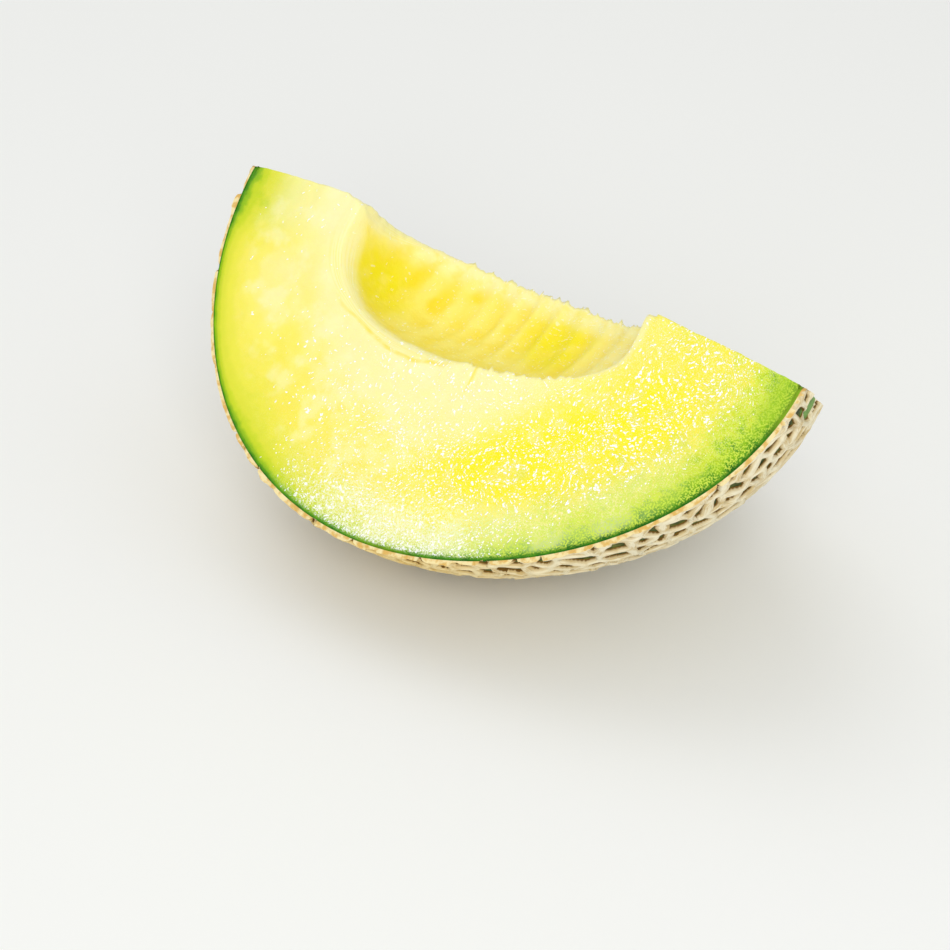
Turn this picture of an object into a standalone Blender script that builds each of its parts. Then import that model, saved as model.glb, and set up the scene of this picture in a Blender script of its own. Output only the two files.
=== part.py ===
"""Wedge of a netted muskmelon, a quarter of the fruit, cut from pole to pole with the seeds scooped out.

Metres, +Z up. The fruit's polar axis lies along X, with the fuller end at -X. The wedge rests on a
small flat on its rind, the origin is the middle of that flat, and one cut face looks to -Y and up.
"""

import math
import random

import bmesh
import bpy
from mathutils import Matrix, Vector

# Whole fruit, measured on the skin between the raised net
FRUIT_LENGTH = 0.152
FRUIT_WIDTH = 0.1366
PROFILE_POWER = 1.95
FULLER_END = 0.109
PROFILE_STEPS = 2000

# Raised cork net
NET_CELLS = 1840
NET_HEIGHT = 0.0011
NET_JITTER = 0.36
NET_JOIN = 0.0016
CELL_FLOOR = (0.52, 0.70)
BARE_TIP = (0.004, 0.009)
BARE_SHARE = 0.05
NET_SEED = 71

# The two cuts: angle of each cut face from straight down, round the polar axis
NEAR_CUT = math.radians(48.3)
FAR_CUT = math.radians(45.4)
CUT_LIFT = 0.0008
EDGE_BOW = 0.0045
BOW_REACH = 0.030
KNIFE_STATIONS = 20
KNIFE_STEPS = 4
KNIFE_OVERREACH = 1.06

# How the wedge lies: its narrower end a little lower, on a small flat cut in from the lowest skin
LEAN = math.radians(0.8)
FLAT_DEPTH = 0.0007

# Seed hollow
HOLLOW_LENGTH = 0.0776
HOLLOW_RADIUS = 0.0232
HOLLOW_POWER = 2.66
HOLLOW_FULLER_END = 0.112
HOLLOW_OFFSET = -0.0026
RIB_COUNT = 15
RIB_DEPTH = 0.0008
RIB_LEAN = 1.1
RIB_SAMPLES = 5
RIB_FADE = 0.6
HOLLOW_SIDES = 40

# Slivers shorter than this are closed up after the cuts, and edges past the crease angle stay sharp
SLIVER = 0.00003
CREASE = math.radians(60)

FLESH_COLOUR = (0.80, 0.78, 0.22, 1.0)
RIND_COLOUR = (0.56, 0.48, 0.30, 1.0)

HALF_LENGTH = FRUIT_LENGTH / 2
GOLDEN_ANGLE = math.pi * (3 - math.sqrt(5))


def egg_radius(x, half_length, radius, power, fuller_end):
    """Radius of an egg-shaped turned body at x from its middle."""
    share = min(abs(x) / half_length, 1.0)
    return radius * (1 - share ** power) ** (1 / power) * (1 - fuller_end * x / half_length)


def skin_radius(x):
    """Radius of the fruit's skin at x from the middle of the polar axis."""
    return egg_radius(x, HALF_LENGTH, FRUIT_WIDTH / 2, PROFILE_POWER, FULLER_END)


def resting_frame():
    """Where the fruit's own frame sits: leaned, with its lowest skin just under the origin."""
    turn = Matrix.Rotation(LEAN, 4, "Y")
    lowest = Vector()
    for i in range(PROFILE_STEPS + 1):
        x = HALF_LENGTH * (2 * i / PROFILE_STEPS - 1)
        place = turn @ Vector((x, 0.0, -skin_radius(x)))
        if place.z < lowest.z:
            lowest = place
    return Matrix.Translation(Vector((0.0, 0.0, -FLAT_DEPTH)) - lowest) @ turn


FRUIT_FRAME = resting_frame()


def clear_objects():
    """Remove every object of the open file."""
    for obj in list(bpy.data.objects):
        bpy.data.objects.remove(obj, do_unlink=True)


def plain_material(name, colour, roughness):
    """A Principled material of one colour."""
    material = bpy.data.materials.new(name)
    material.use_nodes = True
    shader = material.node_tree.nodes["Principled BSDF"]
    shader.inputs["Base Color"].default_value = colour
    shader.inputs["Roughness"].default_value = roughness
    shader.inputs["Metallic"].default_value = 0.0
    return material


def make_object(name, bm, materials, smooth):
    """Turn a bmesh into a linked object; smooth shades it round, with sharp creases kept."""
    mesh = bpy.data.meshes.new(name)
    bm.to_mesh(mesh)
    bm.free()
    if smooth:
        mesh.shade_smooth()
        mesh.set_sharp_from_angle(angle=CREASE)
    for material in materials:
        mesh.materials.append(material)
    obj = bpy.data.objects.new(name, mesh)
    bpy.context.scene.collection.objects.link(obj)
    return obj


def on_fruit(direction, height):
    """Point on the fruit for a direction on the unit sphere, lifted by height off the skin."""
    x = HALF_LENGTH * direction.x
    radius = skin_radius(x)
    around = Vector((0.0, direction.y, direction.z))
    if around.length > 1e-9:
        around.normalize()
    outward = Vector((direction.x / HALF_LENGTH, 2 * direction.y / FRUIT_WIDTH, 2 * direction.z / FRUIT_WIDTH))
    return Vector((x, 0.0, 0.0)) + around * radius + outward.normalized() * height


def net_height(place):
    """Height of the net near a place on the fruit; it fades out round the tip at +X."""
    start, full = BARE_TIP
    distance = (place - Vector((HALF_LENGTH, 0.0, 0.0))).length
    return NET_HEIGHT * min(max((distance - start) / (full - start), BARE_SHARE), 1.0)


def scattered_directions(count, draw):
    """Directions spread evenly over a sphere on a golden spiral round X, each then moved a little."""
    pitch = math.sqrt(4 * math.pi / count)
    for i in range(count):
        x = 1 - 2 * (i + 0.5) / count
        ring = math.sqrt(1 - x * x)
        turn = GOLDEN_ANGLE * i
        place = Vector((x, ring * math.cos(turn), ring * math.sin(turn)))
        shift = Vector((draw.uniform(-1, 1), draw.uniform(-1, 1), draw.uniform(-1, 1)))
        yield (place + shift * pitch * NET_JITTER).normalized()


def net_cells(draw):
    """Closed mesh of irregular many-sided cells over the whole fruit, one for each scattered direction."""
    bm = bmesh.new()
    for direction in scattered_directions(NET_CELLS, draw):
        bm.verts.new(direction)
    hull = bmesh.ops.convex_hull(bm, input=bm.verts[:])
    bmesh.ops.delete(bm, geom=hull["geom_interior"], context="VERTS")
    middles = bm.verts[:]
    sides = bm.edges[:]
    bmesh.ops.poke(bm, faces=bm.faces[:])
    bmesh.ops.rotate_edges(bm, edges=sides, use_ccw=True)
    bmesh.ops.dissolve_verts(bm, verts=middles)
    for vert in bm.verts:
        direction = vert.co.normalized()
        vert.co = on_fruit(direction, net_height(on_fruit(direction, 0.0)))
    bmesh.ops.remove_doubles(bm, verts=bm.verts[:], dist=NET_JOIN)
    return bm


def raise_net(bm, draw):
    """Sink the floor of every cell to the skin, so that the borders stand up as the net."""
    cells = bm.faces[:]
    bmesh.ops.inset_individual(bm, faces=cells, thickness=0.0, depth=0.0)
    for cell in cells:
        middle = cell.calc_center_median()
        normal = cell.normal.copy()
        floor = draw.uniform(*CELL_FLOOR)
        for vert in cell.verts:
            vert.co = middle + (vert.co - middle) * floor - normal * net_height(middle)


def netted_fruit(materials):
    """The whole fruit with its net, before it is cut."""
    draw = random.Random(NET_SEED)
    bm = net_cells(draw)
    raise_net(bm, draw)
    bmesh.ops.triangulate(bm, faces=bm.faces[:])
    bmesh.ops.recalc_face_normals(bm, faces=bm.faces[:])
    bmesh.ops.transform(bm, matrix=FRUIT_FRAME, verts=bm.verts[:])
    return make_object("melon_wedge", bm, materials, True)


def knife_section(x):
    """Section of the wedge that is kept, at x from the fruit's middle: two arms down from the top edge."""
    bow = EDGE_BOW * (1 - min(abs(x) / HALF_LENGTH, 1.0) ** 2)
    up = FRUIT_FRAME.to_3x3() @ Vector((0.0, 0.0, 1.0))
    edge = FRUIT_FRAME @ Vector((x, 0.0, CUT_LIFT))
    arms = []
    for side, cut in ((-1, NEAR_CUT), (1, FAR_CUT)):
        down = Vector((0.0, side * math.sin(cut), 0.0)) - up * math.cos(cut)
        arm = []
        for i in range(1, KNIFE_STEPS + 1):
            share = i / KNIFE_STEPS
            arm.append(edge + down * BOW_REACH * share + up * bow * (1 - share) ** 2)
        arm.append(edge - down * edge.z / down.z)
        arms.append(arm)
    near, far = arms
    return [edge + up * bow] + near + far[::-1]


def knife(materials):
    """Closed solid of the space between the two cuts and above the flat."""
    bm = bmesh.new()
    reach = HALF_LENGTH * KNIFE_OVERREACH
    rings = []
    for i in range(KNIFE_STATIONS + 1):
        x = reach * (2 * i / KNIFE_STATIONS - 1)
        rings.append([bm.verts.new(corner) for corner in knife_section(x)])
    corners = len(rings[0])
    for before, after in zip(rings, rings[1:]):
        for j in range(corners):
            k = (j + 1) % corners
            bm.faces.new((before[j], before[k], after[k], after[j]))
    bm.faces.new(rings[0][::-1])
    bm.faces.new(rings[-1])
    bmesh.ops.triangulate(bm, faces=bm.faces[:])
    bmesh.ops.recalc_face_normals(bm, faces=bm.faces[:])
    return make_object("knife", bm, materials, False)


def hollow_radius(x, turn):
    """Radius of the seed hollow, with the low ribs that the seeds grew along, at x and an angle round it."""
    half = HOLLOW_LENGTH / 2
    plain = egg_radius(x, half, HOLLOW_RADIUS, HOLLOW_POWER, HOLLOW_FULLER_END)
    phase = 2 * math.pi * RIB_COUNT * x / HOLLOW_LENGTH + RIB_LEAN * math.sin(turn) * math.pi
    fade = min(1.0, plain / (HOLLOW_RADIUS * RIB_FADE))
    return plain - RIB_DEPTH * fade * (0.5 + 0.5 * math.cos(phase))


def seed_hollow(materials):
    """Closed solid of the space that the seeds filled."""
    bm = bmesh.new()
    stations = RIB_COUNT * RIB_SAMPLES
    half = HOLLOW_LENGTH / 2
    rings = []
    for i in range(1, stations):
        x = -half * math.cos(math.pi * i / stations)
        ring = []
        for j in range(HOLLOW_SIDES):
            turn = 2 * math.pi * j / HOLLOW_SIDES
            radius = hollow_radius(x, turn)
            ring.append(bm.verts.new((x, radius * math.sin(turn), radius * math.cos(turn))))
        rings.append(ring)
    for before, after in zip(rings, rings[1:]):
        for j in range(HOLLOW_SIDES):
            k = (j + 1) % HOLLOW_SIDES
            bm.faces.new((before[j], before[k], after[k], after[j]))
    for ring, end in ((rings[0], -half), (rings[-1], half)):
        pole = bm.verts.new((end, 0.0, 0.0))
        for j in range(HOLLOW_SIDES):
            bm.faces.new((ring[j], ring[(j + 1) % HOLLOW_SIDES], pole))
    bmesh.ops.triangulate(bm, faces=bm.faces[:])
    bmesh.ops.recalc_face_normals(bm, faces=bm.faces[:])
    place = FRUIT_FRAME @ Matrix.Translation((HOLLOW_OFFSET, 0.0, 0.0))
    bmesh.ops.transform(bm, matrix=place, verts=bm.verts[:])
    return make_object("seed_hollow", bm, materials, True)


def cut_with(obj, cutter, operation):
    """Cut an object by a hidden cutter."""
    cutter.hide_render = True
    cutter.display_type = "WIRE"
    cut = obj.modifiers.new(cutter.name, "BOOLEAN")
    cut.object = cutter
    cut.operation = operation
    cut.solver = "EXACT"
    cut.material_mode = "TRANSFER"


def main():
    """Build the wedge."""
    clear_objects()
    rind = plain_material("rind", RIND_COLOUR, 0.8)
    flesh = plain_material("flesh", FLESH_COLOUR, 0.35)
    wedge = netted_fruit([rind, flesh])
    cut_with(wedge, knife([flesh]), "INTERSECT")
    cut_with(wedge, seed_hollow([flesh]), "DIFFERENCE")
    weld = wedge.modifiers.new("slivers", "WELD")
    weld.merge_threshold = SLIVER


if __name__ == "__main__":
    main()
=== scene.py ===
"""Looks of the muskmelon wedge: wet yellow-green flesh, ribbed seed hollow and raised cork net.

Everything is in metres in the frame of the solids: the fruit's polar axis runs along X with its
narrower end at +X, Z is up, and the wedge rests on the small flat at the origin. Where noise is read
at a place times a number, the number is how many of its waves fit in a metre.
"""

from __future__ import annotations

import logging
import math
import random
from collections.abc import Callable
from dataclasses import dataclass
from enum import Enum

import bmesh
import bpy
from mathutils import Matrix, Quaternion, Vector, noise
from mathutils.kdtree import KDTree

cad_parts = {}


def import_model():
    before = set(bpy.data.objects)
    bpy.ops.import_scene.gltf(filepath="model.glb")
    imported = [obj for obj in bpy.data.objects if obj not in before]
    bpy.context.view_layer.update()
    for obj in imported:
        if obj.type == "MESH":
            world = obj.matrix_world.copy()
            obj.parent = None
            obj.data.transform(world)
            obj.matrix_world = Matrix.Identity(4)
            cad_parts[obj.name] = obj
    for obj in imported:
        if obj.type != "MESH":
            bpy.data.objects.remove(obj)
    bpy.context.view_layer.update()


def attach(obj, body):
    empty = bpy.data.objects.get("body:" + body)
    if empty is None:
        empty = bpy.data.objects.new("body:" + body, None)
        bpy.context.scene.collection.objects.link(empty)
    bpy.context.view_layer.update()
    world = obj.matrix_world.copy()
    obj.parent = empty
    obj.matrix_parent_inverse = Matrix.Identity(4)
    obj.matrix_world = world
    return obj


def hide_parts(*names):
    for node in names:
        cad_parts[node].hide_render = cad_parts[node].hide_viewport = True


LOG = logging.getLogger("melon")
NODE = "melon_wedge"
BODY = "root"
MM = 0.001
WELD = 0.004 * MM
# steps from pole to pole in the grids of the skin and of the flesh, which meet point by point
COLUMNS = 440
# the tip that the cork leaves bare, in the fruit's own frame
BARE_SPOT = Vector((0.0758, 0.0050, -0.0070))

Colour = tuple[float, float, float]
Place = tuple[float, float, float]
Pair = tuple[float, float]
Socket = bpy.types.NodeSocket
Material = bpy.types.Material
NodeTree = bpy.types.NodeTree
Grid = bmesh.types.BMesh
Layers = dict[str, bmesh.types.BMLayerItem]


class Side(Enum):
    """The two cut faces: the one towards -Y, and the one towards +Y."""

    NEAR = -1
    FAR = 1


def linear(red: int, green: int, blue: int) -> Colour:
    """Turn a colour as seen on a screen, 0 to 255, into the linear colour that shaders take."""
    shares = (red / 255, green / 255, blue / 255)
    return tuple(c / 12.92 if c <= 0.04045 else ((c + 0.055) / 1.055) ** 2.4 for c in shares)


def ease(low: float, high: float, value: float) -> float:
    """Smooth step from 0 at low to 1 at high, which may be the lower of the two."""
    share = min(max((value - low) / (high - low), 0.0), 1.0)
    return share * share * (3 - 2 * share)


def egg_radius(x: float, half: float, radius: float, power: float, fuller_end: float) -> float:
    """Radius of an egg-shaped turned body.

    Args:
        x: Place along its axis, from the middle.
        half: Half of its length.
        radius: Radius at the middle.
        power: Roundness of the profile; 2 is an ellipse.
        fuller_end: How much fuller the end at -X is.

    Returns:
        The radius at x, 0 past the ends.
    """
    share = min(abs(x) / half, 1.0)
    return radius * (1 - share**power) ** (1 / power) * (1 - fuller_end * x / half)


def evenly(path: list[Vector], count: int) -> list[Vector]:
    """Points at even distances along a path.

    Args:
        path: The path's own points.
        count: How many steps to divide it into.

    Returns:
        count + 1 points, the path's ends among them.
    """
    lengths = [0.0]
    for before, after in zip(path, path[1:]):
        lengths.append(lengths[-1] + (after - before).length)
    spread = []
    k = 0
    for i in range(count + 1):
        goal = lengths[-1] * i / count
        while k < len(path) - 2 and lengths[k + 1] < goal:
            k += 1
        gap = max(lengths[k + 1] - lengths[k], 1e-12)
        spread.append(path[k].lerp(path[k + 1], min(max((goal - lengths[k]) / gap, 0.0), 1.0)))
    return spread


def search_tree(places: list[Vector]) -> KDTree:
    """A tree that finds which of some places is nearest."""
    tree = KDTree(len(places))
    for i, place in enumerate(places):
        tree.insert(place, i)
    tree.balance()
    return tree


@dataclass(frozen=True)
class Fruit:
    """Shape of the whole fruit, on the skin between the cords of the net."""

    length: float = 0.152
    width: float = 0.1366
    power: float = 1.95
    fuller_end: float = 0.109
    lean: float = math.radians(0.8)
    flat_depth: float = 0.0007
    detail: int = 8
    survey: int = 400

    @property
    def half(self) -> float:
        """Half of the polar axis."""
        return self.length / 2

    def radius(self, x: float) -> float:
        """Radius of the skin at x from the fruit's middle."""
        return egg_radius(x, self.half, self.width / 2, self.power, self.fuller_end)

    def outward(self, x: float) -> Vector:
        """Direction straight out of the skin at x, as (along the axis, away from the axis)."""
        radius = self.radius(x)
        return Vector((x / self.half**2, 4 * radius / self.width**2)).normalized()

    def meridian(self, count: int, depth: float = 0.0) -> list[Vector]:
        """Line from pole to pole, evenly divided, as (x, radius), depth below the skin."""
        fine = self.detail * count
        path = []
        for i in range(fine + 1):
            x = -(self.half - depth) * math.cos(math.pi * i / fine)
            path.append(Vector((x, max(self.radius(x * self.half / (self.half - depth)) - depth, 0.0))))
        path[0].y = path[-1].y = 0.0
        return evenly(path, count)

    def frame(self) -> Matrix:
        """Where the fruit's own frame sits: leaned, with its lowest skin just under the origin."""
        turn = Matrix.Rotation(self.lean, 4, "Y")
        places = (turn @ Vector((p.x, 0.0, -p.y)) for p in self.meridian(self.survey))
        lowest = min(places, key=lambda place: place.z)
        return Matrix.Translation(Vector((0.0, 0.0, -self.flat_depth)) - lowest) @ turn


@dataclass(frozen=True)
class Cuts:
    """The two cuts that part the wedge from the fruit, meeting along its top edge."""

    fruit: Fruit
    near: float = math.radians(48.3)
    far: float = math.radians(45.4)
    lift: float = 0.0008
    bow: float = 0.0045
    bow_reach: float = 0.030
    halvings: int = 30
    on_axis: float = 1e-7

    def angle(self, side: Side) -> float:
        """Angle of a cut face from straight down."""
        return self.near if side is Side.NEAR else self.far

    def point(self, side: Side, x: float, reach: float) -> Vector:
        """A point of a cut face.

        Args:
            side: Which face.
            x: Place along the polar axis.
            reach: Distance down the face from the top edge.

        Returns:
            The point in the fruit's own frame.
        """
        angle = self.angle(side)
        bow = self.bow * (1 - min(abs(x) / self.fruit.half, 1.0) ** 2)
        rise = self.lift + bow * max(0.0, 1 - reach / self.bow_reach) ** 2
        return Vector((x, side.value * reach * math.sin(angle), rise - reach * math.cos(angle)))

    def reach(self, side: Side, x: float, radius: float) -> float:
        """Distance down a cut face at which it is radius away from the polar axis, 0 if it never is."""
        low = 0.0
        high = radius + self.lift + self.bow
        if self.point(side, x, low).yz.length >= radius:
            return 0.0
        for _ in range(self.halvings):
            middle = (low + high) / 2
            if self.point(side, x, middle).yz.length < radius:
                low = middle
            else:
                high = middle
        return high

    def turn(self, side: Side, x: float, radius: float) -> float:
        """Angle round the polar axis, from straight down to +Y, at which a cut meets radius."""
        place = self.point(side, x, self.reach(side, x, radius))
        if place.yz.length < self.on_axis:
            return side.value * math.pi
        return side.value * math.atan2(side.value * place.y, -place.z)

    def turns(self, place: Vector) -> Pair:
        """Angles at which the near and the far cut meet a ring, given as (x, radius)."""
        near, far = (self.turn(side, place.x, place.y) for side in Side)
        return near, far


@dataclass(frozen=True)
class Hollow:
    """The space that the seeds filled, with the low ribs that they grew along."""

    length: float = 0.0776
    width: float = 0.0464
    power: float = 2.66
    fuller_end: float = 0.112
    offset: float = -0.0026
    ribs: int = 12
    rib_depth: float = 0.0008
    rib_drift: float = 2.4

    def radius(self, x: float) -> float:
        """Radius at x along the polar axis, ribs left out; 0 outside the hollow."""
        return egg_radius(x - self.offset, self.length / 2, self.width / 2, self.power, self.fuller_end)

    def slope(self, x: float) -> float:
        """How fast the radius grows along the polar axis."""
        step = 0.05 * MM
        return (self.radius(x + step) - self.radius(x - step)) / (2 * step)

    def rib(self, x: float, turn: float) -> Pair:
        """The ribs at a place of the wall.

        Args:
            x: Place along the polar axis.
            turn: Angle round it, from straight down and positive to +Y.

        Returns:
            Height as a share, 0 in a groove and 1 on a rib, and how strong the ribs are there.
        """
        drift = noise.noise(Vector((x * 70, turn * 0.9, 4.2))) * self.rib_drift
        phase = 2 * math.pi * self.ribs * (x - self.offset) / self.length + drift
        strength = 0.25 + 0.75 * ease(-0.5, 0.35, turn)
        strength *= 0.55 + 0.9 * abs(noise.noise(Vector((x * 110, turn * 1.8, 9.1))))
        return (0.5 + 0.5 * math.cos(phase)) ** 1.4, min(strength, 1.0)


@dataclass(frozen=True)
class Shape:
    """The fruit, its cuts and its hollow together, and where they sit."""

    fruit: Fruit
    cuts: Cuts
    hollow: Hollow
    place: Matrix

    def under_skin(self, station: Vector, depth: float) -> Vector:
        """Where a point straight under the skin is, as (x, radius); a negative depth is above it."""
        out = self.fruit.outward(station.x)
        return Vector((station.x - out.x * depth, max(station.y - out.y * depth, 0.0)))

    def on_ring(self, place: Vector, turn: float) -> Vector:
        """A place given as (x, radius), turned round the polar axis from straight down."""
        return Vector((place.x, place.y * math.sin(turn), -place.y * math.cos(turn)))

    def on_cut(self, side: Side, place: Vector) -> Vector:
        """Where a ring, given as (x, radius), meets a cut face, or its top if the face is lower."""
        reach = self.cuts.reach(side, place.x, place.y)
        return self.cuts.point(side, place.x, reach) if reach > 0.0 else Vector((place.x, 0.0, place.y))


def wrapped_grid(columns: int, rows: int, sharp_rows: set[int], slots: Callable[[int], int]) -> Grid:
    """A flat grid, one unit each way, that is then wrapped round a body.

    Args:
        columns: Steps along X.
        rows: Steps along Y.
        sharp_rows: Rows of edges that stay sharp.
        slots: Material slot for each row of faces.

    Returns:
        The grid, with X and Y from 0 to 1.
    """
    bm = bmesh.new()
    bmesh.ops.create_grid(bm, x_segments=columns, y_segments=rows, size=0.5)
    bmesh.ops.translate(bm, verts=bm.verts[:], vec=(0.5, 0.5, 0.0))
    for face in bm.faces:
        face.smooth = True
        face.material_index = slots(int(face.calc_center_median().y * rows))
    for edge in bm.edges:
        first, last = edge.verts
        row = round(first.co.y * rows)
        if row == round(last.co.y * rows) and row in sharp_rows:
            edge.smooth = False
    return bm


def close_up(bm: Grid) -> None:
    """Close the seam and the poles of a wrapped grid, with its normals outward."""
    bmesh.ops.remove_doubles(bm, verts=bm.verts[:], dist=WELD)
    bmesh.ops.recalc_face_normals(bm, faces=bm.faces[:])
    bm.normal_update()


def finish_piece(
    bm: Grid, shape: Shape, name: str, materials: list[Material], rest: float = 0.0
) -> bpy.types.Object:
    """Set a finished body down where it rests and make it a piece.

    Args:
        bm: The body, in the fruit's own frame.
        shape: Where the fruit sits.
        name: The piece's name.
        materials: Its material slots.
        rest: Height that its flat keeps over the surface that the wedge rests on.

    Returns:
        The linked object.
    """
    bmesh.ops.transform(bm, matrix=shape.place, verts=bm.verts[:])
    for vert in bm.verts:
        vert.co.z = max(vert.co.z, rest)
    mesh = bpy.data.meshes.new(name)
    bm.to_mesh(mesh)
    bm.free()
    for material in materials:
        mesh.materials.append(material)
    obj = bpy.data.objects.new(name, mesh)
    bpy.context.scene.collection.objects.link(obj)
    return obj


@dataclass
class Rind:
    """The smooth green skin under the net: a thin shell with its two cut edges."""

    shape: Shape
    stations: list[Vector]
    thickness: float = 0.8 * MM
    rows: int = 110
    inner_rows: int = 10
    rest: float = 0.15 * MM

    def build(self, materials: list[Material]) -> bpy.types.Object:
        """Make the skin.

        Args:
            materials: Finish of the outside and of the cut edges.

        Returns:
            The skin.
        """
        shape = self.shape
        columns = len(self.stations) - 1
        far_row = self.rows + 1
        total = far_row + 1 + self.inner_rows
        bm = wrapped_grid(columns, total, {1, far_row}, lambda row: 1 if row in (0, far_row) else 0)
        turns = [shape.cuts.turns(station) for station in self.stations]
        for vert in bm.verts:
            i = round(vert.co.x * columns)
            row = round(vert.co.y * total)
            near, far = turns[i]
            station = self.stations[i]
            inner = shape.under_skin(station, self.thickness)
            if row in (0, total):
                vert.co = shape.on_cut(Side.NEAR, inner)
            elif row == far_row + 1:
                vert.co = shape.on_cut(Side.FAR, inner)
            elif row == 1:
                vert.co = shape.on_cut(Side.NEAR, station)
            elif row == far_row:
                vert.co = shape.on_cut(Side.FAR, station)
            elif row < far_row:
                vert.co = shape.on_ring(station, near + (far - near) * (row - 1) / self.rows)
            else:
                back = far + (near - far) * (row - far_row - 1) / self.inner_rows
                vert.co = shape.on_ring(inner, back)
        close_up(bm)
        return finish_piece(bm, shape, "rind", materials, self.rest)


@dataclass
class CorkNet:
    """The raised net of cork cords on the skin, with their cut ends."""

    shape: Shape
    columns: int = 520
    rows: int = 220
    finer: float = 0.4
    cells: int = 1800
    stretch: float = 1.32
    jitter: float = 0.46
    seed: int = 71
    cord: float = 1.12 * MM
    uneven_cord: Pair = (0.60, 0.35)
    height: float = 1.20 * MM
    mean_height: float = 0.86
    uneven_height: Pair = (0.30, 0.20)
    low_end: Pair = (-30 * MM, -60 * MM)
    low_share: float = 0.32
    roundness: float = 2.2
    sunk: float = 0.3 * MM
    foot: float = 0.35
    band: Pair = (0.5 * MM, 1.9 * MM)
    band_raggedness: float = 1.3 * MM
    band_width: float = 0.66
    band_height: float = 0.10
    waver: float = 0.55 * MM
    bare_middle: Vector = BARE_SPOT
    bare_edge: Pair = (3.0 * MM, 4.4 * MM)
    bare_raggedness: float = 0.8 * MM
    knob: Vector = Vector((-0.0747, -0.0072, -0.0062))
    knob_size: float = 3.3 * MM
    knob_height: float = 0.55 * MM
    knob_width: float = 0.8

    def sites(self) -> list[Vector]:
        """Stretched middles of the net's cells: a golden spiral over the skin, each moved a little."""
        draw = random.Random(self.seed)
        fruit = self.shape.fruit
        golden = math.pi * (3 - math.sqrt(5))
        pitch = math.sqrt(4 * math.pi / self.cells)
        middles = []
        for i in range(self.cells):
            x = 1 - 2 * (i + 0.5) / self.cells
            ring = math.sqrt(1 - x * x)
            place = Vector((x, ring * math.cos(golden * i), ring * math.sin(golden * i)))
            shift = Vector((draw.uniform(-1, 1), draw.uniform(-1, 1), draw.uniform(-1, 1)))
            place = (place + shift * pitch * self.jitter).normalized()
            around = Vector((0.0, place.y, place.z)).normalized()
            along = fruit.half * place.x
            middles.append(self.stretched(Vector((along, 0.0, 0.0)) + around * fruit.radius(along)))
        return middles

    def stretched(self, place: Vector) -> Vector:
        """A place with its way along the polar axis stretched, which makes cells narrower that way."""
        return Vector((place.x * self.stretch, place.y, place.z))

    def relief(self, place: Vector, edge: float, tree: KDTree, middles: list[Vector]) -> Pair:
        """The net at a place on the skin.

        Args:
            place: The place, in the fruit's frame.
            edge: Distance along the skin to the nearest cut.
            tree: The cells' middles, for searching.
            middles: The cells' middles.

        Returns:
            Height of the cork, under 0 between the cords, and how far across its cord the place is,
            1 at the foot.
        """
        bent = place + noise.noise_vector(place * 260) * self.waver
        (_, first, near), (_, second, far) = tree.find_n(self.stretched(bent), 2)
        gap = middles[first] - middles[second]
        border = (far * far - near * near) / (2 * self.stretched(gap).length)
        pair = noise.noise(Vector((min(first, second) * 0.37, max(first, second) * 0.53, 1.7)))
        own, fine = self.uneven_cord
        half = self.cord * (1.0 + own * pair + fine * noise.noise(place * 420))
        ragged = noise.noise(place * 300)
        band = 1 - ease(*self.band, edge + self.band_raggedness * ragged)
        across = border / half * (1 - self.band_width * band)
        from_tip = (place - self.bare_middle).length
        tip = ease(*self.bare_edge, from_tip + self.bare_raggedness * ragged)
        knob = 1 - ease(0.3, 1.0, (place - self.knob).length / self.knob_size)
        own, fine = self.uneven_height
        high = self.height * (self.mean_height + own * pair + fine * noise.noise(place * 330))
        high = high * (1 + self.band_height * band)
        high = high * (1 - self.low_share * ease(*self.low_end, place.x)) + self.knob_height * knob
        across = across * (1 - self.knob_width * knob)
        if tip <= 0.0:
            return -self.sunk, 2.0
        if across >= 1.0:
            return -self.sunk * min((across - 1) / self.foot, 1.0), across
        return high * tip * math.sqrt(1 - across**self.roundness), across

    def build(self, material: Material) -> bpy.types.Object:
        """Make the net.

        Args:
            material: The cork.

        Returns:
            The net.
        """
        shape = self.shape
        # noise_vector starts from the clock unless it is seeded
        noise.seed_set(self.seed)
        middles = self.sites()
        tree = search_tree(middles)
        far_row = self.rows + 1
        total = far_row + 1
        bm = wrapped_grid(self.columns, total, {1, far_row}, lambda row: 0)
        across_cord = bm.verts.layers.float.new("across")
        cut_end = bm.verts.layers.float.new("cut_end")
        stations = shape.fruit.meridian(self.columns)
        turns = [shape.cuts.turns(station) for station in stations]
        for vert in bm.verts:
            i = round(vert.co.x * self.columns)
            row = round(vert.co.y * total)
            station = stations[i]
            near, far = turns[i]
            share = min(max((row - 1) / self.rows, 0.0), 1.0)
            turn = near + (far - near) * share * (1 - self.finer + self.finer * share)
            edge = station.y * min(turn - near, far - turn)
            lift, across = self.relief(shape.on_ring(station, turn), edge, tree, middles)
            vert[across_cord] = across
            if 1 < row < far_row:
                vert.co = shape.on_ring(shape.under_skin(station, -lift), turn)
            else:
                side = Side.NEAR if row <= 1 else Side.FAR
                rise = lift if row in (1, far_row) else 0.0
                vert[cut_end] = 1.0
                vert.co = shape.on_cut(side, shape.under_skin(station, -rise))
        bare = 1 + self.foot
        gaps = [face for face in bm.faces if all(vert[across_cord] >= bare for vert in face.verts)]
        bmesh.ops.delete(bm, geom=gaps, context="FACES")
        close_up(bm)
        return finish_piece(bm, shape, "cork_net", [material])


@dataclass(frozen=True)
class Column:
    """A column of the flesh's grid: under the rind, along both cut faces and round the hollow."""

    outer: Vector
    inner: Vector
    ring: Vector
    rise: float
    reaches: dict[Side, float]
    outer_reaches: dict[Side, float]
    turns: Pair
    outer_turns: Pair


@dataclass(frozen=True)
class RimPoint:
    """A point of the hollow's rim, with the rounding that the edge has there."""

    place: Vector
    torn: Vector
    into_flesh: Vector
    width: float
    teeth: float


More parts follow.
